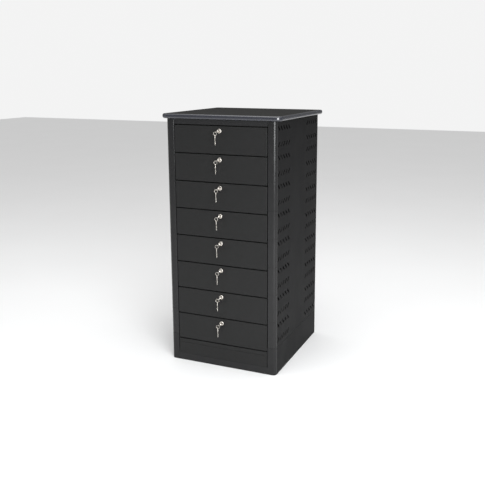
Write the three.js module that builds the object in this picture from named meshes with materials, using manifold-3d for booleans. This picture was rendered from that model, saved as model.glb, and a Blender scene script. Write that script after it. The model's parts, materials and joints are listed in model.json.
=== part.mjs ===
// Tall steel chest with eight locking drawers, in millimetres. Front towards -Y, +Z up.
import * as THREE from 'three';
import { mergeVertices } from 'three/addons/utils/BufferGeometryUtils.js';
import Module from 'manifold-3d';

const wasm = await Module();
wasm.setup();

// ---- driving dimensions -------------------------------------------------------------
const DRAWERS = 8;
const PITCH = 114.3;             // one drawer to the next
const BODY_W = 482;
const BODY_D = 508;
const BODY_H = 1036.6;           // floor to the underside of the worktop
const SHEET = 1.5;
const FIT = 0.3;                 // air between pieces that touch
const CORNER_R = 15;             // front corners of the steel body
const BASE_H = 115.7;            // height of the base frame
const FIRST_SEAM = 116;          // posts and side panels start here
const TOP_LINE = 1013.7;         // middle of the gap above the first drawer

const WORKTOP_W = 526;
const WORKTOP_T = 19;
const WORKTOP_FRONT = 8;         // overhang past the drawer fronts
const WORKTOP_REAR = 2;
const WORKTOP_R = 26;            // front corners seen from above
const WORKTOP_REAR_R = 8;
const WORKTOP_NOSE = 6;          // rounding of its long edges

const OPENING_HALF = 205.5;      // half the clear width between the corner posts
const FRONT_HALF = 203;          // half the width of a drawer front
const FRONT_GAP = 4;             // between two drawer fronts
const FRONT_DEPTH = 16;
const BASE_STRIP_H = 30;

const TRAY_HALF = 192;
const TRAY_FACE_Y = 30;
const TRAY_BACK_Y = 486;
const TRAY_SHEET = 1.2;
const TRAY_LOW = -PITCH + 15;    // both from the gap line above the drawer
const TRAY_HIGH = -9;
const TRAY_MIDDLE = (TRAY_LOW + TRAY_HIGH) / 2;
const RAIL_HALF = 13.5;          // half the height of the rail on a tray
const RAIL_OUT = 201;            // how far a rail reaches from the middle

const RACK_IN = 205;             // inner face of the runner racks
const CHANNEL_IN = 194.5;        // lips of the runner channels
const RACK_UPRIGHTS = [60, 400]; // depth of each upright's front face
const CHANNEL_FRONT_Y = 26;
const CHANNEL_BACK_Y = 490;
const CHANNEL_MARGIN = 3.5;      // channel above and below a tray's rail
const CAM_FRAME_Y = 17.5;
const CAM_FRAME_T = 2.5;

const LOCK_DROP = 21;            // lock centre below the gap line
const LOCK_HEAD_R = 9.5;
const LOCK_BARREL_R = 8;
const LOCK_BARREL_BACK = 22;
const LOCK_BORE_R = 5.7;
const NUT_R = 12;
const NUT_T = 4.5;
const PLUG_R = 5.4;
const PLUG_FRONT = -4.1;
const PLUG_BACK = 28.2;
const KEYWAY_TILT = -33;         // degrees about +Y: the key's left side hangs low
const CAM_Y = 24;
const CAM_T = 2.5;

const KEY_T = 2;
const KEY_BOW_R = 12;
const KEY_BOW_AT = 12.5;         // bow centre, outward from the shoulder
const KEY_SLOT_AT = 19;
const KEY_SLOT_HALF = 7;
const KEY_SLOT_R = 2.2;
const KEY_BLADE = 19;
const KEY_BLADE_HALF = 3.2;
const KEY_SHOULDER_Y = -4.8;
const RING_R = 7;                // to the middle of the wire
const RING_WIRE_R = 0.8;
const RING_DROP = 3.9;           // ring centre below the strip of bow it hangs on
const SPARE_TWIST = 22.5;        // degrees about +Z that the hanging key is turned

const VENT_LONG = 26;
const VENT_WIDE = 7.5;
const VENT_COLUMNS = [30, 58, 86, 114, 142];
const VENT_ROWS = [29, 92];      // heights of the two rows above each seam

// ---- materials ----------------------------------------------------------------------
const blackCoat = new THREE.MeshStandardMaterial({ color: 0x2f2f31, roughness: 0.5, metalness: 0.0 });
const drawerCoat = new THREE.MeshStandardMaterial({ color: 0x363636, roughness: 0.52, metalness: 0.0 });
const laminate = new THREE.MeshStandardMaterial({ color: 0x3b3d44, roughness: 0.3, metalness: 0.0 });
const zincSteel = new THREE.MeshStandardMaterial({ color: 0x3a3a3c, roughness: 0.45, metalness: 1.0 });
const nickel = new THREE.MeshStandardMaterial({ color: 0xcfc8bf, roughness: 0.25, metalness: 1.0 });

// ---- solids -------------------------------------------------------------------------
function toSolid(geometry) {
  const bare = geometry.index ? geometry.toNonIndexed() : geometry.clone();
  bare.deleteAttribute('normal');
  bare.deleteAttribute('uv');
  const merged = mergeVertices(bare, 1e-4);
  const position = merged.attributes.position.array;
  const corners = merged.index.array;
  const kept = [];
  let volume = 0;
  for (let i = 0; i < corners.length; i += 3) {
    const [a, b, c] = [corners[i], corners[i + 1], corners[i + 2]];
    if (a === b || b === c || c === a) continue;
    kept.push(a, b, c);
    const p = new THREE.Vector3().fromArray(position, a * 3);
    const q = new THREE.Vector3().fromArray(position, b * 3);
    const r = new THREE.Vector3().fromArray(position, c * 3);
    volume += p.dot(q.cross(r));
  }
  if (volume < 0) {
    for (let i = 0; i < kept.length; i += 3) {
      [kept[i + 1], kept[i + 2]] = [kept[i + 2], kept[i + 1]];
    }
  }
  return new wasm.Manifold(new wasm.Mesh({
    numProp: 3,
    vertProperties: new Float32Array(position),
    triVerts: new Uint32Array(kept),
  }));
}

function toGeometry(solid) {
  const mesh = solid.getMesh();
  const indexed = new THREE.BufferGeometry();
  indexed.setAttribute('position', new THREE.BufferAttribute(new Float32Array(mesh.vertProperties), 3));
  indexed.setIndex(new THREE.BufferAttribute(new Uint32Array(mesh.triVerts), 1));
  const faceted = indexed.toNonIndexed();
  faceted.computeVertexNormals();
  return faceted;
}

function box(x0, x1, y0, y1, z0, z1) {
  const geometry = new THREE.BoxGeometry(x1 - x0, y1 - y0, z1 - z0);
  geometry.translate((x0 + x1) / 2, (y0 + y1) / 2, (z0 + z1) / 2);
  return toSolid(geometry);
}

function join(first, ...others) {
  return others.reduce((whole, piece) => whole.add(piece), first);
}

function shapeOf(points) {
  return new THREE.Shape(points.map(([u, v]) => new THREE.Vector2(u, v)));
}

// A flat outline pushed along X, Y or Z: outlines are [y, z], [z, x] and [x, y] pairs.
const FRAMES = {
  x: [new THREE.Vector3(0, 1, 0), new THREE.Vector3(0, 0, 1), new THREE.Vector3(1, 0, 0)],
  y: [new THREE.Vector3(0, 0, 1), new THREE.Vector3(1, 0, 0), new THREE.Vector3(0, 1, 0)],
  z: [new THREE.Vector3(1, 0, 0), new THREE.Vector3(0, 1, 0), new THREE.Vector3(0, 0, 1)],
};

function prism(along, outline, from, to, holes = []) {
  const shape = shapeOf(outline);
  shape.holes = holes.map((hole) => new THREE.Path(shapeOf(hole).getPoints()));
  const geometry = new THREE.ExtrudeGeometry(shape, { depth: to - from, bevelEnabled: false });
  geometry.translate(0, 0, from);
  geometry.applyMatrix4(new THREE.Matrix4().makeBasis(...FRAMES[along]));
  return toSolid(geometry);
}

function turned(solid, degreesAboutY) {
  return solid.rotate([0, degreesAboutY, 0]);
}

// Outline of the steel body seen from above, set in by a margin, with round front corners.
function footprint(margin, frontR) {
  const half = BODY_W / 2 - margin;
  const radius = frontR - margin;
  const points = [];
  for (let i = 0; i <= 5; i += 1) {
    const angle = Math.PI + (Math.PI / 2) * (i / 5);
    points.push([-half + radius + radius * Math.cos(angle), margin + radius + radius * Math.sin(angle)]);
  }
  for (let i = 0; i <= 5; i += 1) {
    const angle = -Math.PI / 2 + (Math.PI / 2) * (i / 5);
    points.push([half - radius + radius * Math.cos(angle), margin + radius + radius * Math.sin(angle)]);
  }
  points.push([half, BODY_D - margin]);
  points.push([-half, BODY_D - margin]);
  return points;
}

function gapLine(row) {
  return TOP_LINE - (row - 1) * PITCH;
}

// ---- pieces of the cabinet ----------------------------------------------------------

// Laminated board with a soft nose all round and two rounded front corners.
function worktop() {
  const flat = WORKTOP_NOSE;
  const half = WORKTOP_W / 2 - flat;
  const front = -WORKTOP_FRONT + flat;
  const rear = BODY_D + WORKTOP_REAR - flat;
  const corner = (cx, cy, radius, start) => {
    const steps = radius > 10 ? 6 : 3;
    return Array.from({ length: steps + 1 }, (_, i) => {
      const angle = start + (Math.PI / 2) * (i / steps);
      return [cx + radius * Math.cos(angle), cy + radius * Math.sin(angle)];
    });
  };
  const big = WORKTOP_R - flat;
  const small = WORKTOP_REAR_R - flat;
  const outline = [
    ...corner(-half + big, front + big, big, Math.PI),
    ...corner(half - big, front + big, big, -Math.PI / 2),
    ...corner(half - small, rear - small, small, 0),
    ...corner(-half + small, rear - small, small, Math.PI / 2),
  ];
  const geometry = new THREE.ExtrudeGeometry(shapeOf(outline), {
    depth: WORKTOP_T - 2 * flat,
    bevelThickness: flat,
    bevelSize: flat,
    bevelSegments: 3,
  });
  geometry.translate(0, 0, BODY_H + FIT + flat);
  return toSolid(geometry);
}

// Flat steel lid with a front rail above the first drawer and stiffening flanges inside.
function topPanel() {
  const top = BODY_H;
  const under = top - SHEET;
  const lid = prism('z', footprint(0, CORNER_R), under, top);
  const side = BODY_W / 2 - SHEET - 2;
  const across = OPENING_HALF - 0.5;
  const low = TOP_LINE + FRONT_GAP / 2;
  const weld = under + 0.5;
  const rail = box(-across, across, 0, SHEET, low, weld);
  const lip = box(-across, across, 0.5, CORNER_R, low, low + SHEET);
  const hem = under - 16;
  const back = BODY_D - 8;
  const left = box(-side, -side + SHEET, 2 * CORNER_R, back, hem, weld);
  const right = box(side - SHEET, side, 2 * CORNER_R, back, hem, weld);
  const rear = box(-side + 1, side - 1, back - SHEET, back, hem, weld);
  return join(lid, rail, lip, left, right, rear);
}

// Side sheet with a chevron field of slots near the front and near the back of each drawer.
function sidePanel() {
  const from = CORNER_R + 0.4;
  const to = BODY_D;
  const low = FIRST_SEAM;
  const high = BODY_H - SHEET - FIT;
  const slots = [];
  for (let module = 0; module < DRAWERS; module += 1) {
    VENT_ROWS.forEach((rise, row) => {
      const z = FIRST_SEAM + module * PITCH + rise;
      const lean = row === 0 ? 1 : -1;
      VENT_COLUMNS.forEach((inset) => {
        slots.push(slotOutline(inset, z, lean));
        slots.push(slotOutline(BODY_D - inset, z, -lean));
      });
    });
  }
  const outer = BODY_W / 2;
  const sheet = prism('x', [[from, low], [to, low], [to, high], [from, high]], outer - SHEET, outer, slots);
  const frontFlange = box(outer - 13, outer - 0.5, from, from + SHEET, low, high);
  const rearFlange = box(outer - 13, outer - 0.5, to - SHEET, to, low, high);
  return join(sheet, frontFlange, rearFlange);
}

// A narrow slot leaning 45 degrees in the [y, z] plane.
function slotOutline(y, z, lean) {
  const along = new THREE.Vector2(lean, 1).normalize();
  const across = new THREE.Vector2(along.y, -along.x);
  const long = VENT_LONG / 2;
  const wide = VENT_WIDE / 2;
  return [[-1, -1], [1, -1], [1, 1], [-1, 1]].map(([a, b]) => [
    y + along.x * long * b + across.x * wide * a,
    z + along.y * long * b + across.y * wide * a,
  ]);
}

function backPanel() {
  const half = BODY_W / 2 - SHEET - FIT;
  const rear = BODY_D - SHEET - FIT;
  return box(-half, half, rear - SHEET, rear, FIRST_SEAM, BODY_H - SHEET - FIT);
}

// Right-hand corner post: a folded profile with a round nose and a joint line at every drawer.
function cornerPost() {
  const outer = BODY_W / 2;
  const inner = OPENING_HALF;
  const arc = (radius) => Array.from({ length: 6 }, (_, i) => {
    const angle = -Math.PI / 2 + (Math.PI / 2) * (i / 5);
    return [outer - CORNER_R + radius * Math.cos(angle), CORNER_R + radius * Math.sin(angle)];
  });
  const profile = [
    [inner, 14],
    [inner, 0],
    ...arc(CORNER_R),
    ...arc(CORNER_R - SHEET).reverse(),
    [inner + SHEET, SHEET],
    [inner + SHEET, 14],
  ];
  let post = prism('z', profile, FIRST_SEAM, BODY_H - SHEET - FIT);
  const cut = [[inner - 1, -1], [outer + 1, -1], [outer + 1, CORNER_R + 1], [outer - 0.7, CORNER_R + 1],
    ...arc(CORNER_R - 0.7).reverse(), [inner - 1, 0.7]];
  for (let seam = 0; seam < DRAWERS; seam += 1) {
    const z = FIRST_SEAM + seam * PITCH;
    post = post.subtract(prism('z', cut, z - 0.6, z + 0.6));
  }
  return post;
}

// Base frame: the lowest ring of the body with its floor pan, open where the kick panel sits.
function baseFrame() {
  const ring = prism('z', footprint(0, CORNER_R), 0, BASE_H, [footprint(SHEET, CORNER_R)]);
  const pan = prism('z', footprint(0.5, CORNER_R), 0, SHEET);
  const mouth = box(-OPENING_HALF, OPENING_HALF, -1, 3, BASE_STRIP_H, BASE_H + 1);
  const ledge = box(-OPENING_HALF - 1, OPENING_HALF + 1, 0.5, 15, BASE_STRIP_H - SHEET, BASE_STRIP_H);
  const cheek = box(OPENING_HALF, OPENING_HALF + SHEET, 0, 14, BASE_STRIP_H - SHEET, BASE_H);
  const otherCheek = box(-OPENING_HALF - SHEET, -OPENING_HALF, 0, 14, BASE_STRIP_H - SHEET, BASE_H);
  return join(ring.subtract(mouth), pan, ledge, cheek, otherCheek);
}

// A sheet pan with its flanges turned to the back, as used for drawer fronts and the kick panel.
function pan(half, low, high, depth) {
  const outer = box(-half, half, 0, depth, low, high);
  const hollow = box(-half + SHEET, half - SHEET, SHEET, depth + 1, low + SHEET, high - SHEET);
  return outer.subtract(hollow);
}

function kickPanel() {
  const high = gapLine(DRAWERS + 1) - FRONT_GAP / 2;
  const body = pan(FRONT_HALF, BASE_STRIP_H + FIT, high, 14);
  const crease = box(-FRONT_HALF - 1, FRONT_HALF + 1, -1, 0.7, high - 17, high - 15.8);
  return body.subtract(crease);
}

// Left-hand runner rack: two uprights that carry a channel for each drawer.
function runnerRack() {
  const wall = BODY_W / 2 - SHEET - FIT;
  const upright = (y) => prism('z', [
    [-wall, y], [-wall + SHEET, y], [-wall + SHEET, y + 14], [-RACK_IN, y + 14], [-RACK_IN, y + 40],
    [-RACK_IN - SHEET, y + 40], [-RACK_IN - SHEET, y + 14 + SHEET], [-wall, y + 14 + SHEET],
  ], SHEET + FIT, BODY_H - 40);
  let rack = join(...RACK_UPRIGHTS.map(upright));
  for (let row = 1; row <= DRAWERS; row += 1) {
    const z = gapLine(row) + TRAY_MIDDLE;
    const high = z + RAIL_HALF + CHANNEL_MARGIN;
    const low = z - RAIL_HALF - CHANNEL_MARGIN;
    const channel = [
      [low, -RACK_IN - 0.3], [high, -RACK_IN - 0.3], [high, -CHANNEL_IN], [high - SHEET, -CHANNEL_IN],
      [high - SHEET, -RACK_IN + 1.2], [low + SHEET, -RACK_IN + 1.2], [low + SHEET, -CHANNEL_IN],
      [low, -CHANNEL_IN],
    ];
    rack = rack.add(prism('y', channel, CHANNEL_FRONT_Y, CHANNEL_BACK_Y));
  }
  const [first, second] = RACK_UPRIGHTS;
  const tie = box(-RACK_IN - SHEET, -RACK_IN, first + 15, second + 15, 500, 530);
  return rack.add(tie);
}

// Ladder of cross rails behind the drawer fronts: the lock cams catch behind them.
function camFrame() {
  const front = CAM_FRAME_Y;
  const rear = CAM_FRAME_Y + CAM_FRAME_T;
  const upright = box(207, 228, front, rear, FIRST_SEAM + 4, BODY_H - 4);
  let frame = join(upright, upright.mirror([1, 0, 0]));
  for (let row = 1; row <= DRAWERS; row += 1) {
    frame = frame.add(box(-210, 210, front, rear, gapLine(row) - 4, gapLine(row) + 10));
  }
  return frame;
}

// ---- pieces of one drawer, with heights counted from the gap line above it -------------

// Open steel tray with cheeks that reach into the front pan and a rail along each side.
function tray() {
  const shell = box(-TRAY_HALF, TRAY_HALF, TRAY_FACE_Y, TRAY_BACK_Y, TRAY_LOW, TRAY_HIGH).subtract(
    box(-TRAY_HALF + TRAY_SHEET, TRAY_HALF - TRAY_SHEET, TRAY_FACE_Y + TRAY_SHEET,
      TRAY_BACK_Y - TRAY_SHEET, TRAY_LOW + TRAY_SHEET, TRAY_HIGH + 1),
  );
  const reach = SHEET + FIT;
  const high = TRAY_MIDDLE + RAIL_HALF;
  const low = TRAY_MIDDLE - RAIL_HALF;
  const web = -TRAY_HALF - SHEET;
  const root = -TRAY_HALF + 0.5;
  const rail = prism('y', [
    [low, root], [low, -RAIL_OUT], [low + SHEET, -RAIL_OUT], [low + SHEET, web],
    [high - SHEET, web], [high - SHEET, -RAIL_OUT], [high, -RAIL_OUT], [high, root],
  ], TRAY_FACE_Y + 10, TRAY_BACK_Y - 4);
  const cheek = box(-TRAY_HALF, -TRAY_HALF + TRAY_SHEET, reach, TRAY_FACE_Y + 0.5, TRAY_LOW, TRAY_HIGH);
  const tab = box(-TRAY_HALF, -TRAY_HALF + 14, reach, reach + TRAY_SHEET, TRAY_LOW, TRAY_HIGH);
  const left = join(rail, cheek, tab);
  return join(shell, left, left.mirror([1, 0, 0]));
}

function drawerFront() {
  const body = pan(FRONT_HALF, -PITCH + FRONT_GAP / 2, -FRONT_GAP / 2, FRONT_DEPTH);
  const hole = new THREE.CylinderGeometry(LOCK_BARREL_R + FIT, LOCK_BARREL_R + FIT, 8, 20);
  hole.translate(0, 0, -LOCK_DROP);
  return body.subtract(toSolid(hole));
}

// ---- pieces of one lock, around the lock's centre --------------------------------------

// Lock barrel with its round head in front of the sheet and its nut behind it.
function lockBarrel() {
  const profile = [
    [LOCK_BORE_R, LOCK_BARREL_BACK], [LOCK_BARREL_R, LOCK_BARREL_BACK], [LOCK_BARREL_R, -FIT],
    [LOCK_HEAD_R, -FIT], [LOCK_HEAD_R, -2.4], [LOCK_HEAD_R - 0.6, -3.8], [LOCK_HEAD_R - 2, -4.6],
    [LOCK_BORE_R, -4.6], [LOCK_BORE_R, LOCK_BARREL_BACK],
  ].map(([r, y]) => new THREE.Vector2(r, y));
  const barrel = toSolid(new THREE.LatheGeometry(profile, 16));
  const nut = new THREE.CylinderGeometry(NUT_R, NUT_R, NUT_T, 6);
  nut.translate(0, SHEET + FIT + NUT_T / 2, 0);
  const clear = new THREE.CylinderGeometry(LOCK_BARREL_R - 0.4, LOCK_BARREL_R - 0.4, 20, 12);
  return barrel.add(toSolid(nut).subtract(toSolid(clear)));
}

// Turning core of the lock with its cam, unlocked: the cam lies to the right.
function lockPlug() {
  const core = new THREE.CylinderGeometry(PLUG_R, PLUG_R, PLUG_BACK - PLUG_FRONT, 16);
  core.translate(0, (PLUG_BACK + PLUG_FRONT) / 2, 0);
  const cam = prism('y', [
    [-6, -8], [-6, 21], [-3.5, 26], [3.5, 26], [6, 21], [6, -8],
  ], CAM_Y, CAM_Y + CAM_T);
  const keyway = turned(box(-3.5, 3.5, -6, 19, -1.3, 1.3), KEYWAY_TILT);
  return toSolid(core).add(cam).subtract(keyway);
}

// Outline of a key, [along, across], with the shoulder at 0 and the bow outward.
function keyOutline() {
  const points = [
    [0, -KEY_BLADE_HALF], [-5, -KEY_BLADE_HALF], [-7, -2.1], [-9, -2.8], [-11, -1.6], [-13, -2.6],
    [-16, -2.2], [-KEY_BLADE, 0.6], [-KEY_BLADE + 1, KEY_BLADE_HALF], [0, KEY_BLADE_HALF],
  ];
  const start = Math.PI - 0.42;
  const steps = 14;
  for (let i = 0; i <= steps; i += 1) {
    const angle = start - (2 * start * i) / steps;
    points.push([KEY_BOW_AT + KEY_BOW_R * Math.cos(angle), KEY_BOW_R * Math.sin(angle)]);
  }
  return points;
}

function keySlot() {
  const flat = KEY_SLOT_HALF - KEY_SLOT_R;
  const points = [];
  [[-1, Math.PI], [1, 0]].forEach(([sign, start]) => {
    for (let i = 0; i <= 4; i += 1) {
      const angle = start + (Math.PI * i) / 4;
      points.push([KEY_SLOT_AT + KEY_SLOT_R * Math.cos(angle), sign * flat + KEY_SLOT_R * Math.sin(angle)]);
    }
  });
  return points;
}

// Key lying flat in its keyway: along becomes -Y, across becomes X.
function keyInLock() {
  const swap = ([along, across]) => [across, KEY_SHOULDER_Y - along];
  const flat = prism('z', keyOutline().map(swap), -KEY_T / 2, KEY_T / 2, [keySlot().map(swap)]);
  return turned(flat, KEYWAY_TILT);
}

// The strip of bow the ring hangs on, from the lock centre: [x, z].
function ringPivot() {
  const edge = Math.sqrt(KEY_BOW_R ** 2 - (KEY_SLOT_AT - KEY_BOW_AT) ** 2);
  const reach = (edge + KEY_SLOT_HALF) / 2;
  const tilt = THREE.MathUtils.degToRad(KEYWAY_TILT);
  return [-reach * Math.cos(tilt), reach * Math.sin(tilt)];
}

// Split ring through the bow, with the spare key resting on its lowest point.
function spareKey() {
  const [x, pivotZ] = ringPivot();
  const y = KEY_SHOULDER_Y - KEY_SLOT_AT;
  const ring = new THREE.TorusGeometry(RING_R, RING_WIRE_R, 5, 15);
  ring.rotateX(Math.PI / 2);
  const lift = -RING_R + RING_WIRE_R - 0.3 - KEY_SLOT_AT - KEY_SLOT_R;
  const swap = ([along, across]) => [across, lift + along];
  const key = prism('x', keyOutline().map(swap), -KEY_T / 2, KEY_T / 2, [keySlot().map(swap)]);
  return toSolid(ring).add(key.rotate([0, 0, SPARE_TWIST])).translate([x, y, pivotZ - RING_DROP]);
}

// ---- assembly -----------------------------------------------------------------------
const chest = new THREE.Group();

function piece(parent, name, solid, material) {
  const mesh = new THREE.Mesh(toGeometry(solid), material);
  mesh.name = name;
  parent.add(mesh);
}

const cabinet = new THREE.Group();
const panel = sidePanel();
const post = cornerPost();
const rack = runnerRack();
piece(cabinet, 'worktop', worktop(), laminate);
piece(cabinet, 'top_panel', topPanel(), blackCoat);
piece(cabinet, 'left_side_panel', panel.mirror([1, 0, 0]), blackCoat);
piece(cabinet, 'right_side_panel', panel, blackCoat);
piece(cabinet, 'back_panel', backPanel(), blackCoat);
piece(cabinet, 'left_corner_post', post.mirror([1, 0, 0]), blackCoat);
piece(cabinet, 'right_corner_post', post, blackCoat);
piece(cabinet, 'base_frame', baseFrame(), blackCoat);
piece(cabinet, 'kick_panel', kickPanel(), drawerCoat);
piece(cabinet, 'left_runner_rack', rack, zincSteel);
piece(cabinet, 'right_runner_rack', rack.mirror([1, 0, 0]), zincSteel);
piece(cabinet, 'cam_frame', camFrame(), zincSteel);
chest.add(cabinet);

const drawerSolids = {
  tray: tray(),
  front: drawerFront(),
};
const lockSolids = {
  lock_barrel: lockBarrel(),
  lock_plug: lockPlug(),
  key: keyInLock(),
  spare_key: spareKey(),
};
for (let row = 1; row <= DRAWERS; row += 1) {
  const drawer = new THREE.Group();
  drawer.position.z = gapLine(row);
  for (const [name, solid] of Object.entries(drawerSolids)) {
    piece(drawer, `drawer_${row}_${name}`, solid, drawerCoat);
  }
  const lock = new THREE.Group();
  lock.position.z = -LOCK_DROP;
  for (const [name, solid] of Object.entries(lockSolids)) {
    piece(lock, `drawer_${row}_${name}`, solid, nickel);
  }
  drawer.add(lock);
  chest.add(drawer);
}

// The origin goes to the middle of the whole object's footprint, on the floor.
const middle = new THREE.Box3().setFromObject(chest).getCenter(new THREE.Vector3());
chest.children.forEach((group) => {
  group.position.x -= middle.x;
  group.position.y -= middle.y;
});

export default chest;
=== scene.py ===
# %% [markdown]
# # A tall steel chest with eight locking drawers
# The chest is a folded steel body with a laminated worktop, slotted sides and eight drawers. Each drawer has a
# cam lock with its key in it, and a spare key hangs from that key on a split ring.
# The engineering model is loaded first and stays fixed: it knows the sizes, the places and what moves.
# Everything below either dresses one of its parts or stands in for it with a finer mesh.

# %% Load the engineering model
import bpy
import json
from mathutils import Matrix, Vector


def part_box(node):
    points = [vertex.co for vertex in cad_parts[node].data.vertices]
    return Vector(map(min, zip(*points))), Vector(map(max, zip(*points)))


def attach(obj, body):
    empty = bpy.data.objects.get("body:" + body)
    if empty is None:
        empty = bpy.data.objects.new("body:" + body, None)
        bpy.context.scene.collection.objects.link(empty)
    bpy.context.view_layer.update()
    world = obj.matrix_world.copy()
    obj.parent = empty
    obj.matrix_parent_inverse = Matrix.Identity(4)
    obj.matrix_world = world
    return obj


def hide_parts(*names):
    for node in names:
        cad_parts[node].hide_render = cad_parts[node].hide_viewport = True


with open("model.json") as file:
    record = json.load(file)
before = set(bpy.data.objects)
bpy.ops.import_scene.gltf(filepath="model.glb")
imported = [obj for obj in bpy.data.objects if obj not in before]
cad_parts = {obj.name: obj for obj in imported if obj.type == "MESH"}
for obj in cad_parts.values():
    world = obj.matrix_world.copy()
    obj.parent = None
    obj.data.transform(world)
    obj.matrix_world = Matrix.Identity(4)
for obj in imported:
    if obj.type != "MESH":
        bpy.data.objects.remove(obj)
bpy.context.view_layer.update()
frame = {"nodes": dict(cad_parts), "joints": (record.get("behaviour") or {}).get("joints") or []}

import json
import math

import bmesh
import bpy
from mathutils import Matrix, Vector

MM = 0.001
DRAWERS = range(1, 9)
print("parts in the engineering model:", len(frame["nodes"]))

# %% [markdown]
# ## Measures
# Every place comes from the engineering model, so nothing has to be fitted afterwards. A drawer front gives the
# face of the chest, two fronts in a row give the pitch, and a side panel gives the outer width and the seams.

# %% Read the measures
face_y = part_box("drawer_1_front")[0].y
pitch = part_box("drawer_1_front")[1].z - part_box("drawer_2_front")[1].z
panel_low, panel_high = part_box("right_side_panel")
sheet = 1.5 * MM
print(f"pitch {pitch * 1000:.1f} mm, body {panel_high.x * 2000:.0f} mm wide")


def lock_centre(row):
    """Middle of a lock's head, in the plane of its drawer front."""
    low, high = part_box(f"drawer_{row}_lock_barrel")
    return Vector(((low.x + high.x) / 2, face_y, (low.z + high.z) / 2))


def joint(name):
    return next(j for j in frame["joints"] if j["name"] == name)

# %% [markdown]
# ## Helpers for shader nodes
# A material is a small graph. `add` makes one node and fills its sockets: a value is typed in, and another node's
# output is linked in. That keeps each material down to the few lines that say what is special about it. The Mix
# node has sockets for numbers, vectors and colours, so its colour sockets are picked by their place in the list.

# %% Node helpers
COLOUR_A, COLOUR_B, COLOUR_OUT = 6, 7, 2


def add(tree, kind, sockets=None, **settings):
    """Makes a node, sets its properties, and fills its sockets with values or links."""
    made = tree.nodes.new(kind)
    for name, value in settings.items():
        setattr(made, name, value)
    for name, value in (sockets or {}).items():
        if isinstance(value, bpy.types.NodeSocket):
            tree.links.new(value, made.inputs[name])
        else:
            made.inputs[name].default_value = value
    return made


def math_node(tree, operation, first, second=0.0, clamp=False):
    return add(tree, "ShaderNodeMath", {0: first, 1: second}, operation=operation, use_clamp=clamp).outputs[0]


def blend_colour(tree, factor, first, second):
    made = add(tree, "ShaderNodeMix", {"Factor": factor}, data_type="RGBA")
    for socket, value in ((made.inputs[COLOUR_A], first), (made.inputs[COLOUR_B], second)):
        if isinstance(value, bpy.types.NodeSocket):
            tree.links.new(value, socket)
        else:
            socket.default_value = (*value, 1.0)
    return made.outputs[COLOUR_OUT]


def new_group(name, inputs, outputs):
    """An empty node group with named number sockets; returns its tree, inlet and outlet."""
    group = bpy.data.node_groups.new(name, "ShaderNodeTree")
    for label, value in inputs.items():
        socket = group.interface.new_socket(label, in_out="INPUT", socket_type="NodeSocketFloat")
        socket.default_value = value
    for label in outputs:
        group.interface.new_socket(label, in_out="OUTPUT", socket_type="NodeSocketFloat")
    return group, group.nodes.new("NodeGroupInput").outputs, group.nodes.new("NodeGroupOutput")

# %% [markdown]
# ## Powder grain
# Powder coat melts into a skin with tiny hills about half a millimetre apart. Two noises, one for the hills and one
# for the slow waves of the film, make a height that several finishes can share.

# %% The powder grain group
grain_group, inlet, outlet = new_group(
    "powder_grain", {"Hills Per Metre": 1400.0, "Waves Per Metre": 60.0, "Wave Share": 0.3}, ["Height", "Waves"])
place = add(grain_group, "ShaderNodeTexCoord").outputs["Object"]
hills = add(grain_group, "ShaderNodeTexNoise", {"Vector": place, "Scale": inlet["Hills Per Metre"], "Detail": 2.0})
waves = add(grain_group, "ShaderNodeTexNoise", {"Vector": place, "Scale": inlet["Waves Per Metre"], "Detail": 3.0})
waved = math_node(grain_group, "MULTIPLY", waves.outputs["Fac"], inlet["Wave Share"])
height = math_node(grain_group, "ADD", hills.outputs["Fac"], waved)
grain_group.links.new(height, outlet.inputs["Height"])
grain_group.links.new(waves.outputs["Fac"], outlet.inputs["Waves"])
print("powder_grain has", len(grain_group.nodes), "nodes")

# %% [markdown]
# ## Worn edges
# Paint and plating wear first where hands and other things rub: on the outside edges. The Bevel node gives the
# normal that a rounded edge would have, so where it differs from the true normal there is an edge. Noise breaks
# the line up, because real wear is never an even stripe.

# %% The worn edges group
edge_group, inlet, outlet = new_group(
    "worn_edges", {"Radius": 0.0008, "Strength": 2.0, "Breaks Per Metre": 90.0}, ["Mask"])
place = add(edge_group, "ShaderNodeTexCoord").outputs["Object"]
rounded = add(edge_group, "ShaderNodeBevel", {"Radius": inlet["Radius"]}, samples=4)
true_normal = add(edge_group, "ShaderNodeNewGeometry").outputs["Normal"]
agreement = add(edge_group, "ShaderNodeVectorMath", {0: rounded.outputs[0], 1: true_normal}, operation="DOT_PRODUCT")
edge = math_node(edge_group, "SUBTRACT", 1.0, agreement.outputs["Value"], clamp=True)
edge = math_node(edge_group, "MULTIPLY", edge, inlet["Strength"])
breaks = add(edge_group, "ShaderNodeTexNoise", {"Vector": place, "Scale": inlet["Breaks Per Metre"], "Detail": 4.0})
gaps = add(edge_group, "ShaderNodeMapRange", {"Value": breaks.outputs["Fac"], "From Min": 0.42, "From Max": 0.62})
worn = math_node(edge_group, "MULTIPLY", edge, gaps.outputs["Result"], clamp=True)
edge_group.links.new(worn, outlet.inputs["Mask"])
print("worn_edges has", len(edge_group.nodes), "nodes")

# %% [markdown]
# ## Handling marks
# Hands leave soft, stretched patches that change only how a surface shines. The group stretches a slow noise
# upwards and puts out a value around zero that each finish adds to its own roughness.

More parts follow.
